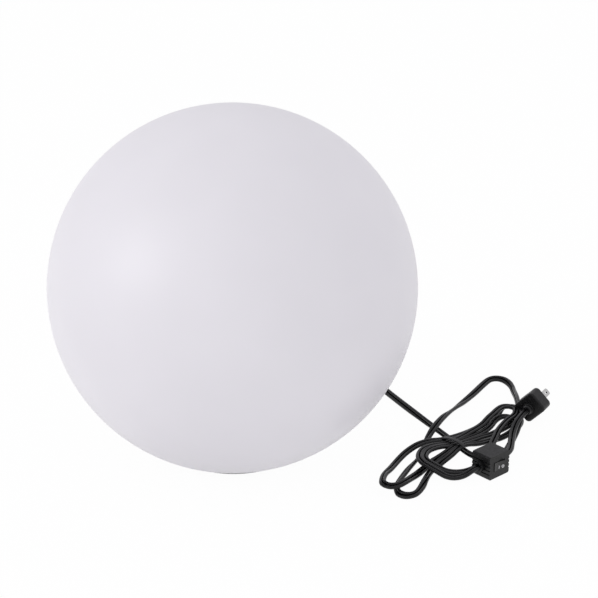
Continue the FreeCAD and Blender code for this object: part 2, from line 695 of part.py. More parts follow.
def core_wire(side):
    """One stripped core from the cord's end, up through the nipple to its terminal."""
    start_y = CORD_SLOT_REACH + 1 - SEAT_GAP
    core_x = side * CORD_WIDTH / 4
    terminal_z = HOLDER_BODY_Z - 3 - SEAT_GAP
    core_z = CORD_UNDER + CORD_THICKNESS / 2
    lane = side * (WIRE_DIAMETER / 2 + 0.25)
    points = [
        V(core_x, start_y, core_z),
        V(core_x, start_y - 7, core_z + 1.0),
        V(lane, 0.5, 9.0),
        V(lane, 0, nipple_low() + 6),
        V(lane, 0, BRACKET_DECK + 9),
        V(side * TERMINAL_BLOCK, 0, terminal_z - 3.2),
        V(side * TERMINAL_BLOCK, 0, terminal_z),
    ]
    return points


def wire_solid(side):
    points = core_wire(side)
    path, solid = tube_along(points, route_radii(points), WIRE_DIAMETER)
    return solid


# ---------------------------------------------------------------- in-line switch
# Made lying along X with its switch face towards -Y, then turned and set down.

def placed(shape, turn, at, z=0.0):
    shape.rotate(V(0, 0, 0), Z_AXIS, turn)
    shape.translate(V(at[0], at[1], z))
    return shape


def switch_outline(y_low, y_high, shrink):
    """Rounded box of the switch between two planes, its walls moved in by shrink."""
    half = SWITCH_LENGTH / 2 - shrink
    body = block(-half, half, y_low, y_high, shrink, SWITCH_HEIGHT - shrink)
    along = [edge for edge in body.Edges if abs(edge.tangentAt(edge.FirstParameter).y) > 0.9]
    return body.makeFillet(max(SWITCH_CORNER - shrink, 0.5), along)


def switch_neck():
    half = SWITCH_LENGTH / 2 + SWITCH_NECK_LENGTH
    return Part.makeCylinder(SWITCH_NECK_DIAMETER / 2, 2 * half, V(-half, 0, SWITCH_HEIGHT / 2), X_AXIS)


def cord_bore():
    half = SWITCH_LENGTH / 2 + SWITCH_NECK_LENGTH + 1
    return Part.makeCylinder(CORD_WIDTH / 2, 2 * half, V(-half, 0, SWITCH_HEIGHT / 2), X_AXIS)


def half_space(side):
    """Big block on one side of the switch's parting plane, y = 0."""
    reach = SWITCH_LENGTH * 2
    if side < 0:
        return block(-reach, reach, -reach, 0, -reach, reach)
    return block(-reach, reach, 0, reach, -reach, reach)


def rocker_window():
    half = ROCKER_LENGTH / 2 + 2 * RUN_GAP
    z_mid = SWITCH_HEIGHT / 2
    wide = ROCKER_WIDTH / 2 + RUN_GAP
    return block(-half, half, -SWITCH_DEPTH, -SWITCH_DEPTH / 2 + ROCKER_DEPTH + 2, z_mid - wide, z_mid + wide)


def pivot_y():
    return -SWITCH_DEPTH / 2 + ROCKER_AXIS_DEPTH


def switch_shell(side):
    half_depth = SWITCH_DEPTH / 2
    outer = switch_outline(-half_depth, half_depth, 0).fuse(switch_neck())
    cavity = switch_outline(-half_depth + SWITCH_WALL, half_depth - SWITCH_WALL, SWITCH_WALL)
    shell = outer.common(half_space(side)).cut(cavity)
    shell = shell.cut(cord_bore())
    for i in range(SWITCH_RIBS):
        z = SWITCH_HEIGHT / 2 + (i - (SWITCH_RIBS - 1) / 2) * SWITCH_RIB_PITCH
        for end in (-1, 1):
            x = end * SWITCH_LENGTH / 2
            groove = block(x - SWITCH_RIB_DEPTH, x + SWITCH_RIB_DEPTH, -half_depth - 1, half_depth + 1,
                           z - SWITCH_RIB_GROOVE / 2, z + SWITCH_RIB_GROOVE / 2)
            shell = shell.cut(groove.cut(switch_neck()))
    return shell


def switch_front_shell():
    shell = switch_shell(-1)
    ear_z = SWITCH_HEIGHT / 2 + ROCKER_WIDTH / 2 + RUN_GAP
    ear_top = ear_z + ROCKER_STUB_LENGTH + 1
    half = SWITCH_EAR / 2
    ear_y = SWITCH_WALL / 2 - SWITCH_DEPTH / 2
    ear = block(-half, half, ear_y, pivot_y() + half, ear_z, ear_top)
    low_ear = block(-half, half, ear_y, pivot_y() + half, SWITCH_HEIGHT - ear_top, SWITCH_HEIGHT - ear_z)
    shell = shell.fuse(ear).fuse(low_ear).cut(rocker_window())
    hole_half = ROCKER_WIDTH / 2 + RUN_GAP + ROCKER_STUB_LENGTH
    hole = Part.makeCylinder(ROCKER_STUB / 2 + PIVOT_GAP, 2 * hole_half,
                             V(0, pivot_y(), SWITCH_HEIGHT / 2 - hole_half))
    return placed(shell.cut(hole), SWITCH_TURN, SWITCH_AT)


def switch_back_shell():
    shell = switch_shell(1)
    for x, z in switch_screw_spots():
        boss = Part.makeCylinder(SWITCH_BOSS, SWITCH_DEPTH / 2, V(x, 0, z), Y_AXIS)
        hole = Part.makeCylinder(SWITCH_SCREW, SWITCH_DEPTH, V(x, -1, z), Y_AXIS)
        sink = Part.makeCylinder(SWITCH_SCREW_HEAD, SWITCH_DEPTH, V(x, SWITCH_DEPTH / 2 - SWITCH_SCREW_SINK, z), Y_AXIS)
        shell = shell.fuse(boss).cut(hole).cut(sink)
    return placed(shell, SWITCH_TURN, SWITCH_AT)


def switch_screw_spots():
    inset = SWITCH_WALL + SWITCH_BOSS - 0.2
    x = SWITCH_LENGTH / 2 - inset
    return [(-x, inset), (x, SWITCH_HEIGHT - inset)]


def switch_screws():
    screws = []
    for x, z in switch_screw_spots():
        head_y = SWITCH_DEPTH / 2 - SWITCH_SCREW_SINK
        head_height = SWITCH_SCREW_SINK - 0.2
        shank = Part.makeCylinder(SWITCH_SCREW, head_y, V(x, 0, z), Y_AXIS)
        head = Part.makeCylinder(SWITCH_SCREW_HEAD, head_height, V(x, head_y, z), Y_AXIS)
        slot = block(x - SWITCH_BOSS, x + SWITCH_BOSS, head_y + head_height / 2, head_y + SWITCH_BOSS,
                     z - SCREW_SLOT / 3, z + SCREW_SLOT / 3)
        screws.append(placed(shank.fuse(head).cut(slot), SWITCH_TURN, SWITCH_AT))
    return Part.makeCompound(screws)


def switch_rocker():
    """Rocker with a shallow V face and two stubs, resting with its off side pressed in."""
    y_pivot = pivot_y()
    face_y = -SWITCH_DEPTH / 2 - ROCKER_PROUD
    half = ROCKER_LENGTH / 2
    dip = 0.7
    root_y = y_pivot + ROCKER_DEPTH - ROCKER_AXIS_DEPTH
    points = [
        V(-half, face_y, 0),
        V(0, face_y + dip, 0),
        V(half, face_y, 0),
        V(half * 0.92, y_pivot, 0),
        V(1.2, root_y, 0),
        V(-1.2, root_y, 0),
        V(-half * 0.92, y_pivot, 0),
    ]
    low = SWITCH_HEIGHT / 2 - ROCKER_WIDTH / 2
    edges = [Part.Arc(points[0], points[1], points[2]).toShape()]
    for a, b in zip(points[2:], points[3:] + points[:1]):
        edges.append(Part.LineSegment(a, b).toShape())
    rocker = Part.Face(Part.Wire(edges)).extrude(V(0, 0, ROCKER_WIDTH))
    rocker.translate(V(0, 0, low))
    stub_half = ROCKER_WIDTH / 2 + RUN_GAP + ROCKER_STUB_LENGTH - 0.2
    stub = Part.makeCylinder(ROCKER_STUB / 2, 2 * stub_half, V(0, y_pivot, SWITCH_HEIGHT / 2 - stub_half))
    rocker = rocker.fuse(stub)
    rocker.rotate(V(0, y_pivot, 0), Z_AXIS, -ROCKER_TILT)
    return placed(rocker, SWITCH_TURN, SWITCH_AT)


def switch_contacts():
    """Two strips on the back shell's floor: a fixed one at each end of the break."""
    y = SWITCH_DEPTH / 2 - SWITCH_WALL
    strips = []
    for side in (-1, 1):
        low = 1.5 if side > 0 else -7.5
        base = block(low, low + 6, y - 0.6, y, SWITCH_HEIGHT / 2 - 2, SWITCH_HEIGHT / 2 + 2)
        post = block(low + 2.6, low + 3.2, y - 5, y, SWITCH_HEIGHT / 2 - 1.5, SWITCH_HEIGHT / 2 + 1.5)
        strips.append(placed(base.fuse(post), SWITCH_TURN, SWITCH_AT))
    return Part.makeCompound(strips)


# ---------------------------------------------------------------- plug
# Made pointing along +X with its blades side by side across Y, then rolled, turned and set down.

def plug_height():
    """Height of the plug's axis when its rolled body rests on the ground."""
    roll = math.radians(abs(PLUG_ROLL))
    half_width = PLUG_WIDTH / 2 - PLUG_CORNER
    half_thickness = PLUG_THICKNESS / 2 - PLUG_CORNER
    return half_width * math.sin(roll) + half_thickness * math.cos(roll) + PLUG_CORNER


def plug_placed(shape):
    shape.rotate(V(0, 0, 0), X_AXIS, PLUG_ROLL)
    return placed(shape, PLUG_TURN, PLUG_AT, plug_height())


def plug_body():
    half_width = PLUG_WIDTH / 2
    half_thickness = PLUG_THICKNESS / 2
    body = block(-PLUG_LENGTH / 2, PLUG_LENGTH / 2, -half_width, half_width, -half_thickness, half_thickness)
    along = [edge for edge in body.Edges if abs(edge.tangentAt(edge.FirstParameter).x) > 0.9]
    body = body.makeFillet(PLUG_CORNER, along)
    back = [edge for edge in body.Edges if edge.BoundBox.XMax < -PLUG_LENGTH / 2 + 0.01]
    body = body.makeFillet(1.6, back)
    for side in (-1, 1):
        y = side * BLADE_SPACING / 2
        slot = block(0, PLUG_LENGTH, y - BLADE_THICKNESS / 2, y + BLADE_THICKNESS / 2,
                     -BLADE_WIDTH / 2, BLADE_WIDTH / 2)
        body = body.cut(slot)
    return plug_placed(body)


def plug_blades():
    blades = []
    for side in (-1, 1):
        y = side * BLADE_SPACING / 2
        tip = PLUG_LENGTH / 2 + BLADE_LENGTH
        blade = block(0, tip, y - BLADE_THICKNESS / 2, y + BLADE_THICKNESS / 2, -BLADE_WIDTH / 2, BLADE_WIDTH / 2)
        corners = [edge for edge in blade.Edges
                   if abs(edge.tangentAt(edge.FirstParameter).y) > 0.9 and edge.BoundBox.XMin > tip - 0.1]
        blade = blade.makeChamfer(1.4, corners)
        hole = Part.makeCylinder(BLADE_HOLE / 2, BLADE_THICKNESS * 3,
                                 V(tip - BLADE_HOLE_BACK, y - BLADE_THICKNESS * 1.5, 0), Y_AXIS)
        blades.append(plug_placed(blade.cut(hole)))
    return Part.makeCompound(blades)


def plug_neck():
    """Ribbed strain relief that tapers from the plug's back to the cord."""
    start = -PLUG_LENGTH / 2
    neck = Part.makeCone(PLUG_NECK_TIP / 2, PLUG_NECK_ROOT / 2, PLUG_NECK_LENGTH,
                         V(start - PLUG_NECK_LENGTH, 0, 0), X_AXIS)
    groove_width = PLUG_NECK_LENGTH / 9
    for i in (1, 2):
        x = start - PLUG_NECK_LENGTH + i * PLUG_NECK_LENGTH / 3
        groove = Part.makeCylinder(PLUG_NECK_ROOT, groove_width, V(x, 0, 0), X_AXIS)
        keep = Part.makeCylinder(PLUG_NECK_TIP / 2, groove_width, V(x, 0, 0), X_AXIS)
        neck = neck.cut(groove.cut(keep))
    return plug_placed(neck)


# ---------------------------------------------------------------- free cord

def cord_stretch(name, places):
    points = [V(*place) for place in places]
    radii = route_radii(points)
    path, solid = tube_along(points, radii, CORD_WIDTH)
    expected = math.pi * (CORD_WIDTH / 2) ** 2 * path.Length
    print(name, "length", round(path.Length, 1), "radii", [round(r, 1) for r in radii],
          "volume over section times length", round(solid.Volume / expected, 4))
    return solid


def cord_lead():
    return cord_stretch("cord_lead", LEAD_POINTS)


def cord_tail():
    return cord_stretch("cord_tail", TAIL_POINTS)


def hank_place(along, across, height):
    turn = math.radians(HANK_TURN)
    x = HANK_AT[0] + along * math.cos(turn) - across * math.sin(turn)
    y = HANK_AT[1] + along * math.sin(turn) + across * math.cos(turn)
    return V(x, y, height)


def hank_heading(degrees, slope):
    turn = math.radians(HANK_TURN + degrees)
    return V(math.cos(turn), math.sin(turn), slope).normalize()


def arc_between(start, heading, end):
    """Arc from start along heading to end: its edge, its radius and its heading at the end."""
    chord = end - start
    side = chord - heading * chord.dot(heading)
    radius = chord.dot(chord) / (2 * max(side.Length, 1e-6))
    last = (chord * (2 * chord.dot(heading) / chord.dot(chord)) - heading).normalize()
    lean = side.normalize() * radius
    centre = start + lean
    middle = centre + ((start - centre) + (end - centre)).normalize() * radius
    return Part.Arc(start, middle, end).toShape(), radius, last


def biarc_path(stations):
    """Two tangent arcs from each station to the next."""
    edges = []
    radii = []
    places = [(hank_place(a, b, z), hank_heading(turn, slope)) for a, b, z, turn, slope in stations]
    for (p1, t1), (p2, t2) in zip(places, places[1:]):
        chord = p2 - p1
        both = t1 + t2
        spread = 2 * (1 - t1.dot(t2))
        along = chord.dot(both)
        if spread < 1e-6:
            reach = chord.dot(chord) / (4 * chord.dot(t2))
        else:
            reach = (-along + math.sqrt(along ** 2 + spread * chord.dot(chord))) / spread
        joint = (p1 + t1 * reach + p2 - t2 * reach) * 0.5
        first, r1, heading = arc_between(p1, t1, joint)
        second, r2, heading = arc_between(joint, heading, p2)
        edges += [first, second]
        radii += [r1, r2]
    return edges, radii


def least_self_gap(edges):
    """Least gap of the cord to itself, from points every 2 mm, leaving out what is near along it."""
    step = 2.0
    near = 5 * CORD_WIDTH
    points = []
    travelled = 0.0
    for edge in edges:
        count = max(2, int(edge.Length / step))
        for i in range(count):
            at = edge.Length * i / count
            parameter = edge.getParameterByLength(at)
            points.append((travelled + at, edge.valueAt(parameter)))
        travelled += edge.Length
    least = 1e9
    for i, (s1, p1) in enumerate(points):
        for s2, p2 in points[i + 1:]:
            if s2 - s1 > near:
                least = min(least, p1.distanceToPoint(p2))
    return least - CORD_WIDTH


def cord_hank():
    """The tied hank: one unbroken tube with flat sides, from the lead's end to the switch."""
    edges, radii = biarc_path(HANK_STATIONS)
    path = Part.Wire(edges)
    start = edges[0].valueAt(edges[0].FirstParameter)
    heading = hank_heading(HANK_STATIONS[0][3], HANK_STATIONS[0][4])
    across = heading.cross(Z_AXIS).normalize()
    rise = across.cross(heading)
    corner_r = CORD_WIDTH / 2
    corners = []
    for i in range(HANK_SIDES + 1):
        angle = 2 * math.pi * (i + 0.5) / HANK_SIDES
        corners.append(start + across * (corner_r * math.cos(angle)) + rise * (corner_r * math.sin(angle)))
    hank = path.makePipeShell([Part.makePolygon(corners)], True, False)
    print("cord_hank length", round(path.Length, 1), "least radius", round(min(radii), 1),
          "least gap to itself", round(least_self_gap(edges), 2))
    return hank


def cord_tie():
    """Twist tie round the hank's middle."""
    low_v, high_v, low_z, high_z = TIE_INSIDE
    half = TIE_WIDTH / 2

    def rounded(grow):
        box = block(-half, half, low_v - grow, high_v + grow, low_z - grow, high_z + grow)
        along = [edge for edge in box.Edges if abs(edge.tangentAt(edge.FirstParameter).x) > 0.9]
        return box.makeFillet(TIE_CORNER + grow, along)

    tie = rounded(TIE_SHEET).cut(rounded(0))
    tie.translate(V(TIE_AT, 0, 0))
    tie.rotate(V(0, 0, 0), Z_AXIS, HANK_TURN)
    tie.translate(V(HANK_AT[0], HANK_AT[1], 0))
    return tie


# ---------------------------------------------------------------- build

def pieces():
    return {
        "globe_shell": globe_shell,
        "globe_gasket": globe_gasket,
        "base_pan": base_pan,
        "foot_pads": foot_pads,
        "lamp_bracket": lamp_bracket,
        "bracket_screws": bracket_screws,
        "holder_nipple": holder_nipple,
        "nipple_nuts": nipple_nuts,
        "lampholder_base": lampholder_base,
        "lampholder_body": lampholder_body,
        "screw_shell": screw_shell,
        "centre_contact": centre_contact,
        "bulb_contact": bulb_contact,
        "bulb_insulator": bulb_insulator,
        "bulb_cap": bulb_cap,
        "bulb_housing": bulb_housing,
        "led_board": led_board,
        "led_chips": led_chips,
        "bulb_diffuser": bulb_diffuser,
        "cord_bush": cord_bush,
        "cord_inlet": cord_inlet,
        "cord_clamp": cord_clamp,
        "clamp_screws": clamp_screws,
        "live_wire": lambda: wire_solid(-1),
        "neutral_wire": lambda: wire_solid(1),
        "switch_front_shell": switch_front_shell,
        "switch_back_shell": switch_back_shell,
        "switch_screws": switch_screws,
        "switch_rocker": switch_rocker,
        "switch_contacts": switch_contacts,
        "cord_lead": cord_lead,
        "cord_hank": cord_hank,
        "cord_tie": cord_tie,
        "cord_tail": cord_tail,
        "plug_body": plug_body,
        "plug_blades": plug_blades,
        "plug_neck": plug_neck,
    }


def build():
    os.makedirs("parts", exist_ok=True)
    for name, make in pieces().items():
        shape = make()
        print(name, "valid", shape.isValid(), "solids", len(shape.Solids), "volume", round(shape.Volume, 1))
        shape.exportStep("parts/" + name + ".step")


build()
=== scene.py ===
import math

import bpy
from mathutils import Euler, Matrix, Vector


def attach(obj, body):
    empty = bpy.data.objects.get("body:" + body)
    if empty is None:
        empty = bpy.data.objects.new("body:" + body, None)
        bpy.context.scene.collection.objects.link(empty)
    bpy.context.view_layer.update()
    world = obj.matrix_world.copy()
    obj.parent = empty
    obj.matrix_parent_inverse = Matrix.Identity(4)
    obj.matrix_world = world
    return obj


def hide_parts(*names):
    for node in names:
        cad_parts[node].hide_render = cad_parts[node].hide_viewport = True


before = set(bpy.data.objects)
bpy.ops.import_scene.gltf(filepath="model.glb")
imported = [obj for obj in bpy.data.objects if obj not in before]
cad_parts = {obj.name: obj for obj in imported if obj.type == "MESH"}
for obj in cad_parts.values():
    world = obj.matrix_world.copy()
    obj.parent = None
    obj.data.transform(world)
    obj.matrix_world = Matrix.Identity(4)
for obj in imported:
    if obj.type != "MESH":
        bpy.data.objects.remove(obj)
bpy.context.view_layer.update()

# Garden globe light. Metres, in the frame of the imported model: +Z up, +Y to the back.

MM = 0.001

# Camera
CAMERA_AT = (0.0535, -1.2204, 0.6262)
CAMERA_DOWN = 22.0            # degrees below level
CAMERA_LENS = 97.1            # millimetres
SENSOR_WIDTH = 36.0

# Cord
CORD_WIDTH = 6.2 * MM
CORD_THICKNESS = 3.2 * MM
HALF_WEB = 0.45 * MM          # half the thickness of the web between the two cores
CORE_STEPS = 7                # points round each core in the cord's outline
CORD_RESOLUTION = 8
PARALLEL = 1e-6               # headings closer than this count as one

# A cord's twist in degrees is 0 where it stands on its narrow edge and 90 where it lies flat.
# The lead's route from the base to the hank: a place in millimetres and the twist there
LEAD_POINTS = [
    (0, 76, 2.9, 90), (0, 98, 2.9, 70), (14, 134, 2.9, 45), (46, 158, 2.9, 35), (85.5, 159.5, 2.9, 35),
    (116, 135, 2.9, 38), (134.3, 95.5, 2.9, 40), (152, 61, 2.7, 52), (169.5, 30, 1.8, 85),
    (183, 5.0, 1.7, 88), (196.5, -24.4, 1.7, 88), (210.9, -30.2, 1.7, 85), (224.5, -24.4, 2.6, 40),
    (233.5, 0.5, 2.9, -10), (240.5, 18, 4.6, -30), (245.8, 36, 8.4, -50), (246.0, 55, 8.9, -65),
    (246.8, 75, 8.6, -70), (247.3, 97, 3.2, -65), (246.8, 114, 2.9, -55), (240.5, 127, 2.9, -40),
    (229.5, 127.5, 2.9, -25), (220.5, 112.5, 3.1, -30), (210.5, 94, 3.1, -30), (198.5, 74, 3.4, 10),
    (188.5, 57.5, 4.6, 50), (180, 42, 7.0, 10), (169.5, 19.5, 7.6, -30), (162, 4, 2.9, 30),
    (158.0, -9, 1.9, 80),
]
# The tail's route from the switch to the plug, in the same way
TAIL_POINTS = [
    (221.42, -38.93, 10.25, 0), (227.5, -33.4, 10.25, 0), (231.3, -13, 9.4, 10), (234.5, 5.5, 9.6, 10),
    (241.2, 22.6, 13.4, 0), (250.0, 37.18, 13.58, 0),
]
# The hank: its middle, its turn, and the stations that its loops pass, in millimetres:
# along it, across it, height, heading in degrees, slope and twist in degrees
HANK_AT = (180.2, -10.6)
HANK_TURN = 50.0
HANK_STATIONS = [
    (-22, 13.0, 2.2, 202, 0, 60), (-60, 2.0, 2.9, 197, 0, 30), (-85.5, -8.5, 2.7, 219, 0, 50),
    (-91, -17, 2.7, 272, 0, 50), (-79.5, -25.0, 2.9, 15, 0, 10), (-44, -12.0, 2.4, 16, 0, 75),
    (-18, -11.0, 4.6, 0, 0.1, 5), (2, -10.0, 6.4, 358, 0.02, 0), (24, -17, 3.8, 342, -0.03, 0),
    (46, -23.5, 2.9, 356, 0, 5), (76, -20.5, 2.2, 16, 0, 60), (94, -9.5, 2.2, 38, 0, 60),
    (101.5, 0.5, 2.2, 86, 0, 60), (94, 8.0, 2.6, 180, 0, 30), (77, 3.8, 2.9, 192, 0, 0),
    (50, 2.2, 3.2, 180, 0.03, -5), (6, 7.0, 6.4, 160, 0.02, 0), (-13, 17.0, 7.2, 158, -0.03, -10),
    (-38, 20.5, 4.2, 190, -0.03, -10), (-60, 15.0, 4.2, 199, 0.1, 0), (-83, 7.0, 6.8, 208, 0.1, 20),
    (-94.6, -4.5, 8.4, 260, 0.05, 30), (-86, -13.3, 8.9, 358, 0, 15), (-62, -9.2, 5.0, 10, -0.15, 30),
    (-38, -4.8, 2.9, 8, 0, 60), (-18, -5.2, 4.6, 356, 0.1, 10), (0, -6.2, 6.4, 354, 0, 0),
    (24, -10, 4.8, 350, -0.03, 0), (46, -14, 3.2, 356, -0.03, 5), (73, -15.2, 3.0, 6, 0, 0),
    (80.6, -7.2, 3.0, 88, 0, 0), (73.5, -0.4, 3.0, 182, 0, -5), (44, -6.5, 4.2, 184, 0.03, -5),
    (0, -2.4, 6.6, 172, 0.05, 0), (-20, 3.4, 8.6, 171, 0.03, 0), (-42.5, -11, 8.8, 264, -0.08, 5),
    (-36, -28, 3.8, 308, -0.06, 5), (-15, -38, 3.8, 356, 0.06, 10), (6, -34.5, 7.0, 14, 0.06, 10),
    (26, -26.5, 8.4, 20, 0.03, 10), (46, -19, 8.8, 16, 0, 5), (62, -15.5, 8.9, 10, 0, 0),
    (80, -13.2, 8.9, 20, 0, 0), (88.6, -4.4, 8.9, 88, 0, 0), (81.2, 3.0, 8.9, 180, 0, -5),
    (62, 0.8, 8.6, 186, -0.05, -5), (40, -1.6, 7.0, 178, -0.02, -5), (0, 1.6, 6.8, 170, 0.05, 0),
    (-20, 8.0, 8.6, 172, 0.03, 0), (-47.5, -12, 8.6, 266, -0.1, 5), (-41.5, -35.5, 3.9, 308, 0.1, 5),
    (-25.9, -45.5, 10.25, 352, 0, 0),
]
# Twist tie round the hank's middle
TIE_AT = (2.0, -1.6, 6.5)     # along the hank, across it and in height
TIE_REACH = (11.6, 4.4)       # half its width across the hank and half its height
TIE_BAND = 4.0
TIE_SHEET = 0.7
TIE_ROUND = 0.15
TIE_FACETS = 40

# Printed marks on the rocker, in millimetres in the switch's own lie
SWITCH_AT = (209.9, -49.3)
SWITCH_TURN = 42.0
ROCKER_TILT = -13.3
MARK_HEIGHT = 9.2
ON_MARK_AT = (-1.1, -10.15)   # along the rocker, and out to its face from the switch's middle
OFF_MARK_AT = (2.7, -10.9)
MARK_SIZE = 2.6
MARK_STROKE = 0.55
MARK_DEPTH = 0.5
BAR_BEVEL = 0.08              # as a share of the bar, before it is scaled
RING_FACETS = 28

SMOOTH_ANGLE = 35             # degrees, above which an edge stays sharp

# Surfaces
NOISE_RANGE = (0.3, 0.7)      # the part of a noise's values that its effect is spread over
BUMP_DEPTH = 0.0001

# Studio
FLOOR_SIZE = 12
FLOOR_PAINT = "#F7F7F7"
FLOOR_GLOW = 0.97             # share of plain white in the floor where it is looked at
ROOM_COLOUR = "#F5F4F8"
ROOM_STRENGTH = 0.88
WHITE = (1, 1, 1, 1)
# Name, place, what it points at, diameter, power in watts and colour
LAMPS = [
    ("key_lamp", (-2.0, -1.0, 1.2), (0, 0, 0.14), 1.4, 12.5, "#FFFEFF"),
    ("top_lamp", (0.3, 0.4, 2.4), (0.05, 0, 0.1), 1.6, 1.5, "#FFFFFF"),
    ("fill_lamp", (1.7, -1.2, 0.5), (0, 0, 0.14), 1.4, 2.5, "#FFFFFF"),
]


# ---------------------------------------------------------------- helpers

def linear(hex_colour):
    """Linear colour from an sRGB hex value."""
    channels = [int(hex_colour[i:i + 2], 16) / 255 for i in (1, 3, 5)]
    return [c / 12.92 if c <= 0.04045 else ((c + 0.055) / 1.055) ** 2.4 for c in channels] + [1.0]


def add(tree, kind, settings=None, values=None, links=None):
    """Add a node with its settings, its sockets' values and what its sockets are linked from."""
    node = tree.nodes.new(kind)
    for name, value in (settings or {}).items():
        setattr(node, name, value)
    for name, value in (values or {}).items():
        node.inputs[name].default_value = value
    for name, socket in (links or {}).items():
        tree.links.new(socket, node.inputs[name])
    return node


def new_material(name, shader_values):
    """A material whose only nodes are a Principled shader and the output."""
    material = bpy.data.materials.new(name)
    material.use_nodes = True
    tree = material.node_tree
    tree.nodes.clear()
    shader = add(tree, "ShaderNodeBsdfPrincipled", values=shader_values)
    add(tree, "ShaderNodeOutputMaterial", links={"Surface": shader.outputs["BSDF"]})
    return material, tree, shader


def dress(piece, material):
    piece.data.materials.clear()
    piece.data.materials.append(material)


# ---------------------------------------------------------------- camera and cords

def set_camera():
    data = bpy.data.cameras.new("camera")
    data.lens = CAMERA_LENS
    data.sensor_width = SENSOR_WIDTH
    camera = bpy.data.objects.new("camera", data)
    camera.location = CAMERA_AT
    camera.rotation_euler = Euler((math.radians(90 - CAMERA_DOWN), 0, 0))
    bpy.context.scene.collection.objects.link(camera)
    bpy.context.scene.camera = camera


def hank_place(along, across, height):
    turn = math.radians(HANK_TURN)
    return Vector((
        HANK_AT[0] + along * math.cos(turn) - across * math.sin(turn),
        HANK_AT[1] + along * math.sin(turn) + across * math.cos(turn),
        height,
    ))


def hank_points():
    """Control points of the hank: two for each stretch between stations, on the stations' headings."""
    places = []
    for along, across, height, heading, slope, twist in HANK_STATIONS:
        turn = math.radians(HANK_TURN + heading)
        direction = Vector((math.cos(turn), math.sin(turn), slope)).normalized()
        places.append((hank_place(along, across, height), direction, twist))
    points = []
    for (p1, t1, twist1), (p2, t2, twist2) in zip(places, places[1:]):
        # How far both points lie from their stations, so that the cord turns evenly between them
        chord = p2 - p1
        spread = 2 * (1 - t1.dot(t2))
        along = chord.dot(t1 + t2)
        if spread < PARALLEL:
            reach = chord.dot(chord) / (4 * chord.dot(t2))
        else:
            reach = (-along + math.sqrt(along ** 2 + spread * chord.dot(chord))) / spread
        points.append((p1 + t1 * reach, twist1))
        points.append((p2 - t2 * reach, twist2))
    points.append((places[-1][0], places[-1][2]))
    return points


def cord_profile():
    """Outline of the flat two-core cord, half its width across: two round cores with a web between them."""
    core_r = CORD_THICKNESS / 2
    spacing = CORD_WIDTH / 2 - core_r
    web_angle = math.asin(HALF_WEB / core_r)
    outline = []
    for side in (1, -1):
        for i in range(CORE_STEPS):
            angle = -math.pi + web_angle + (2 * math.pi - 2 * web_angle) * i / (CORE_STEPS - 1)
            outline.append((
                side * (spacing + core_r * math.cos(angle)),
                side * core_r * math.sin(angle),
            ))
    data = bpy.data.curves.new("cord_profile", "CURVE")
    data.dimensions = "2D"
    spline = data.splines.new("POLY")
    spline.points.add(len(outline) - 1)
    # Scaled to a half width of 1, because each point's radius scales it back
    for point, (x, y) in zip(spline.points, outline):
        point.co = (x / (CORD_WIDTH / 2), y / (CORD_WIDTH / 2), 0, 1)
    spline.use_cyclic_u = True
    profile = bpy.data.objects.new("cord_profile", data)
    bpy.context.scene.collection.objects.link(profile)
    profile.hide_render = True
    profile.hide_viewport = True
    return profile


def flat_cord(name, points, profile):
    """One flat cord along a smooth spline through control points in millimetres with twists."""
    data = bpy.data.curves.new(name, "CURVE")
    data.dimensions = "3D"
    data.twist_mode = "Z_UP"
    data.resolution_u = CORD_RESOLUTION
    data.bevel_mode = "OBJECT"
    data.bevel_object = profile
    data.use_fill_caps = True
    spline = data.splines.new("NURBS")
    spline.points.add(len(points) - 1)
    for point, (place, twist) in zip(spline.points, points):
        point.co = (*(Vector(place) * MM), 1)
        point.tilt = math.radians(twist)
        point.radius = CORD_WIDTH / 2
    spline.order_u = 3
    spline.use_endpoint_u = True
    cord = bpy.data.objects.new(name, data)
    bpy.context.scene.collection.objects.link(cord)
    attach(cord, "base")
    return cord


def lay_cords():
    profile = cord_profile()
    lead_points = [(place[:3], place[3]) for place in LEAD_POINTS]
    lead = flat_cord("flat_cord", lead_points + hank_points(), profile)
    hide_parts("cord_lead", "cord_hank")
    tail_points = [(place[:3], place[3]) for place in TAIL_POINTS]
    tail = flat_cord("plug_cord", tail_points, profile)
    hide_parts("cord_tail")
    return lead, tail


# ---------------------------------------------------------------- pieces

def start_edit(piece, name):
    """Name a fresh primitive and go into edit mode with all of it selected."""
    piece.name = name
    bpy.ops.object.mode_set(mode="EDIT")
    bpy.ops.mesh.select_all(action="SELECT")


def finish_piece(piece, body):
    """Close a piece: outward normals, applied transforms, smooth shading, and the body it rides."""
    bpy.ops.mesh.select_all(action="SELECT")
    bpy.ops.mesh.normals_make_consistent(inside=False)
    bpy.ops.object.mode_set(mode="OBJECT")
    bpy.ops.object.transform_apply(location=True, rotation=True, scale=True)
    bpy.ops.object.shade_smooth_by_angle(angle=math.radians(SMOOTH_ANGLE))
    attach(piece, body)
    return piece


def make_tie():
    """A thin band pulled snug round the hank."""
    bpy.ops.object.select_all(action="DESELECT")
    turn = math.radians(HANK_TURN)
    across, up = TIE_REACH
    at = hank_place(*TIE_AT) * MM
    bpy.ops.mesh.primitive_cylinder_add(
        vertices=TIE_FACETS, radius=1, depth=TIE_BAND * MM, end_fill_type="NOTHING",
        location=at, rotation=(0, math.radians(90), turn),
    )
    tie = bpy.context.object
    tie.scale = (up * MM, across * MM, 1)
    bpy.ops.object.transform_apply(location=False, rotation=False, scale=True)
    start_edit(tie, "snug_tie")
    bpy.ops.mesh.solidify(thickness=TIE_SHEET * MM)
    bpy.ops.mesh.select_all(action="SELECT")
    bpy.ops.mesh.bevel(offset=TIE_ROUND * MM, segments=2, affect="EDGES")
    return finish_piece(tie, "base")


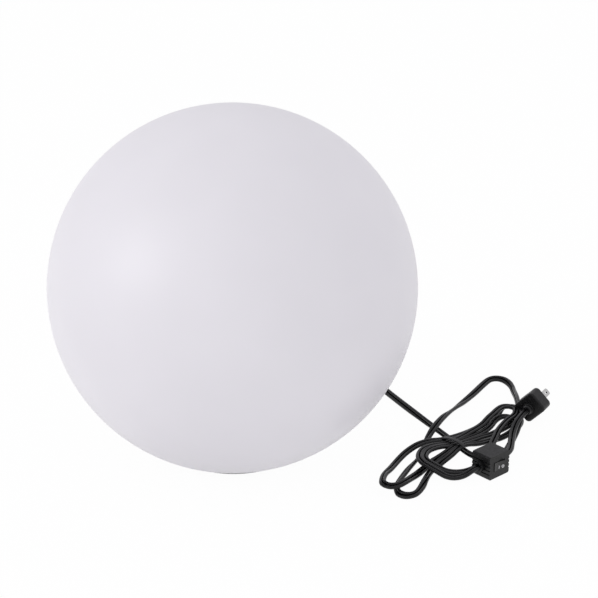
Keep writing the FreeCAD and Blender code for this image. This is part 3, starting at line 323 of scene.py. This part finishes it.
def switch_place(x, y, z):
    """A place in the switch's own lie, in metres in the world."""
    turn = math.radians(SWITCH_TURN)
    return Vector((SWITCH_AT[0] + x * math.cos(turn) - y * math.sin(turn),
                   SWITCH_AT[1] + x * math.sin(turn) + y * math.cos(turn), z)) * MM


def make_marks():
    """The printed on and off marks: a bar and a ring that stand a little proud of the rocker."""
    facing = (math.radians(90), 0, math.radians(SWITCH_TURN + ROCKER_TILT))
    bpy.ops.object.select_all(action="DESELECT")
    bpy.ops.mesh.primitive_cube_add(
        size=1, location=switch_place(*ON_MARK_AT, MARK_HEIGHT), rotation=facing,
    )
    bar = bpy.context.object
    bar.scale = (MARK_STROKE * MM, MARK_SIZE * MM, MARK_DEPTH * MM)
    start_edit(bar, "on_mark")
    bpy.ops.mesh.bevel(offset=BAR_BEVEL, segments=2, affect="EDGES")
    finish_piece(bar, "rocker")
    bpy.ops.object.select_all(action="DESELECT")
    bpy.ops.mesh.primitive_cylinder_add(
        vertices=RING_FACETS, radius=MARK_SIZE / 2 * MM, depth=MARK_DEPTH * MM, end_fill_type="NOTHING",
        location=switch_place(*OFF_MARK_AT, MARK_HEIGHT), rotation=facing,
    )
    ring = bpy.context.object
    start_edit(ring, "off_mark")
    bpy.ops.mesh.solidify(thickness=MARK_STROKE * MM)
    finish_piece(ring, "rocker")
    return bar, ring


# ---------------------------------------------------------------- materials

def noise(tree, scale, detail=2.0):
    """A noise texture that stays with the piece."""
    place = add(tree, "ShaderNodeTexCoord")
    return add(
        tree, "ShaderNodeTexNoise", values={"Scale": scale, "Detail": detail},
        links={"Vector": place.outputs["Object"]},
    )


def roughen(tree, shader, texture, strength):
    """Raise the surface a little by a texture."""
    bump = add(
        tree, "ShaderNodeBump", values={"Strength": strength, "Distance": BUMP_DEPTH},
        links={"Height": texture.outputs["Fac"]},
    )
    tree.links.new(bump.outputs["Normal"], shader.inputs["Normal"])


def vary_gloss(tree, shader, texture, least, most):
    """Vary the roughness between two values by a texture."""
    polish = add(
        tree, "ShaderNodeMapRange",
        values={"From Min": NOISE_RANGE[0], "From Max": NOISE_RANGE[1], "To Min": least, "To Max": most},
        links={"Value": texture.outputs["Fac"]},
    )
    tree.links.new(polish.outputs["Result"], shader.inputs["Roughness"])


def opal_polyethylene():
    """Milky, satin polyethylene with a faint orange-peel skin and a soft glow in the wall."""
    material, tree, shader = new_material("opal_polyethylene", {
        "Base Color": linear("#E4E3E8"), "Roughness": 0.42, "IOR": 1.51,
        "Subsurface Weight": 0.12, "Subsurface Radius": (0.004, 0.004, 0.0045), "Subsurface Scale": 1.0,
    })
    cloud = noise(tree, 9.0)
    tint = add(tree, "ShaderNodeValToRGB", links={"Fac": cloud.outputs["Fac"]})
    for stop, at, hex_colour in zip(tint.color_ramp.elements, NOISE_RANGE, ("#E3E1E5", "#E7E5E9")):
        stop.position = at
        stop.color = linear(hex_colour)
    tree.links.new(tint.outputs["Color"], shader.inputs["Base Color"])
    # Orange peel 3 mm across, a few microns deep
    roughen(tree, shader, noise(tree, 330.0), 0.05)
    return material


def black_polypropylene():
    """Injection-moulded black polypropylene with a fine spark-eroded texture of the mould."""
    material, tree, shader = new_material("black_polypropylene", {
        "Base Color": linear("#1B1B1D"), "Roughness": 0.5, "IOR": 1.49,
    })
    roughen(tree, shader, noise(tree, 1400.0, 3.0), 0.25)
    return material


def black_pvc(name, roughness, hex_colour):
    """Soft black rubber or PVC, extruded or moulded: dull sheen that varies in fine spots."""
    material, tree, shader = new_material(name, {
        "Base Color": linear(hex_colour), "Roughness": roughness, "IOR": 1.53, "Specular IOR Level": 0.3,
    })
    spots = noise(tree, 500.0)
    vary_gloss(tree, shader, spots, roughness - 0.06, roughness + 0.08)
    roughen(tree, shader, spots, 0.15)
    return material


def metal(name, hex_colour, roughness, grain):
    """Plated or drawn metal whose gloss varies in small spots."""
    material, tree, shader = new_material(name, {
        "Base Color": linear(hex_colour), "Metallic": 1.0, "Roughness": roughness,
    })
    vary_gloss(tree, shader, noise(tree, grain, 4.0), roughness * 0.7, roughness * 1.3)
    return material


def moulded_plastic(name, hex_colour, roughness):
    """Moulded plastic with a fine even grain."""
    material, tree, shader = new_material(name, {
        "Base Color": linear(hex_colour), "Roughness": roughness, "IOR": 1.5,
    })
    roughen(tree, shader, noise(tree, 900.0), 0.12)
    return material


def dress_nodes():
    rubber = black_pvc("nitrile_rubber", 0.7, "#161617")
    pvc = black_pvc("moulded_pvc", 0.42, "#0C0C0D")
    zinc = metal("zinc_plated_steel", "#B9BBBE", 0.35, 700.0)
    brass = metal("drawn_brass", "#C9A35B", 0.25, 500.0)
    plated = metal("nickel_plated_brass", "#C8C8C6", 0.16, 900.0)
    phenolic = moulded_plastic("phenolic_moulding", "#1E1C1C", 0.3)
    white = moulded_plastic("white_polycarbonate", "#E4E4E2", 0.35)
    finishes = {
        "globe_shell": opal_polyethylene(),
        "globe_gasket": rubber, "foot_pads": rubber,
        "cord_bush": pvc, "cord_inlet": pvc, "cord_tie": pvc,
        "base_pan": black_polypropylene(),
        "cord_clamp": moulded_plastic("nylon_clamp", "#1F1F20", 0.4), "clamp_screws": zinc,
        "lamp_bracket": zinc, "bracket_screws": zinc, "holder_nipple": zinc, "nipple_nuts": zinc,
        "lampholder_base": phenolic, "lampholder_body": phenolic,
        "screw_shell": brass, "centre_contact": brass, "bulb_contact": brass, "switch_contacts": brass,
        "bulb_insulator": moulded_plastic("black_glass_insulator", "#17131C", 0.12),
        "bulb_cap": metal("aluminium_cap", "#C4C6C9", 0.3, 400.0),
        "bulb_housing": white,
        "led_board": moulded_plastic("white_solder_mask", "#DDE2DC", 0.3),
        "led_chips": moulded_plastic("phosphor_silicone", "#E3C64A", 0.35),
        "bulb_diffuser": moulded_plastic("frosted_polycarbonate", "#ECECEA", 0.5),
        "live_wire": moulded_plastic("black_core", "#1A1A1A", 0.35),
        "neutral_wire": moulded_plastic("white_core", "#D8D8D4", 0.35),
        "switch_front_shell": pvc, "switch_back_shell": pvc, "plug_body": pvc, "plug_neck": pvc,
        "switch_screws": zinc, "switch_rocker": moulded_plastic("nylon_rocker", "#191919", 0.3),
        "plug_blades": plated,
    }
    for name, material in finishes.items():
        dress(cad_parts[name], material)


# ---------------------------------------------------------------- stage

def set_stage():
    bpy.ops.object.select_all(action="DESELECT")
    bpy.ops.mesh.primitive_plane_add(size=FLOOR_SIZE, location=(0, 0, 0))
    floor = bpy.context.object
    floor.name = "floor"
    material = bpy.data.materials.new("pale_floor")
    material.use_nodes = True
    tree = material.node_tree
    tree.nodes.clear()
    rays = add(tree, "ShaderNodeLightPath")
    seen = add(
        tree, "ShaderNodeMath", {"operation": "MAXIMUM"},
        links={0: rays.outputs["Is Camera Ray"], 1: rays.outputs["Is Glossy Ray"]},
    )
    painted = add(tree, "ShaderNodeBsdfDiffuse", values={"Color": linear(FLOOR_PAINT)})
    glow = add(tree, "ShaderNodeEmission", values={"Color": WHITE, "Strength": 1.0})
    # Mostly plain white where it is looked at, with a share of real paint so that shadows stay
    share = add(
        tree, "ShaderNodeMath", {"operation": "MULTIPLY"}, {1: FLOOR_GLOW}, {0: seen.outputs["Value"]},
    )
    mixed = add(tree, "ShaderNodeMixShader", links={
        0: share.outputs["Value"], 1: painted.outputs["BSDF"], 2: glow.outputs["Emission"],
    })
    add(tree, "ShaderNodeOutputMaterial", links={"Surface": mixed.outputs["Shader"]})
    floor.data.materials.append(material)


def set_world():
    world = bpy.data.worlds.new("studio")
    bpy.context.scene.world = world
    world.use_nodes = True
    tree = world.node_tree
    tree.nodes.clear()
    rays = add(tree, "ShaderNodeLightPath")
    seen = add(
        tree, "ShaderNodeMath", {"operation": "MAXIMUM"},
        links={0: rays.outputs["Is Camera Ray"], 1: rays.outputs["Is Transmission Ray"]},
    )
    room = add(tree, "ShaderNodeBackground", values={"Color": linear(ROOM_COLOUR), "Strength": ROOM_STRENGTH})
    white = add(tree, "ShaderNodeBackground", values={"Color": WHITE, "Strength": 1.0})
    mixed = add(tree, "ShaderNodeMixShader", links={
        0: seen.outputs["Value"], 1: room.outputs["Background"], 2: white.outputs["Background"],
    })
    add(tree, "ShaderNodeOutputWorld", links={"Surface": mixed.outputs["Shader"]})


def area_lamp(name, at, towards, size, power, hex_colour):
    data = bpy.data.lights.new(name, "AREA")
    data.shape = "DISK"
    data.size = size
    data.energy = power
    data.color = linear(hex_colour)[:3]
    lamp = bpy.data.objects.new(name, data)
    lamp.location = at
    lamp.rotation_euler = (Vector(towards) - Vector(at)).to_track_quat("-Z", "Y").to_euler()
    bpy.context.scene.collection.objects.link(lamp)


set_camera()
lead, tail = lay_cords()
cord_pvc = black_pvc("extruded_pvc", 0.33, "#050506")
dress(lead, cord_pvc)
dress(tail, cord_pvc)
dress_nodes()
tie = make_tie()
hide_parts("cord_tie")
dress(tie, moulded_plastic("tie_strip", "#101011", 0.45))
mark_ink = moulded_plastic("white_pad_print", "#D9D9D9", 0.5)
for mark in make_marks():
    dress(mark, mark_ink)
set_stage()
set_world()
for lamp in LAMPS:
    area_lamp(*lamp)
bpy.context.scene.view_settings.view_transform = "Standard"
bpy.context.view_layer.update()
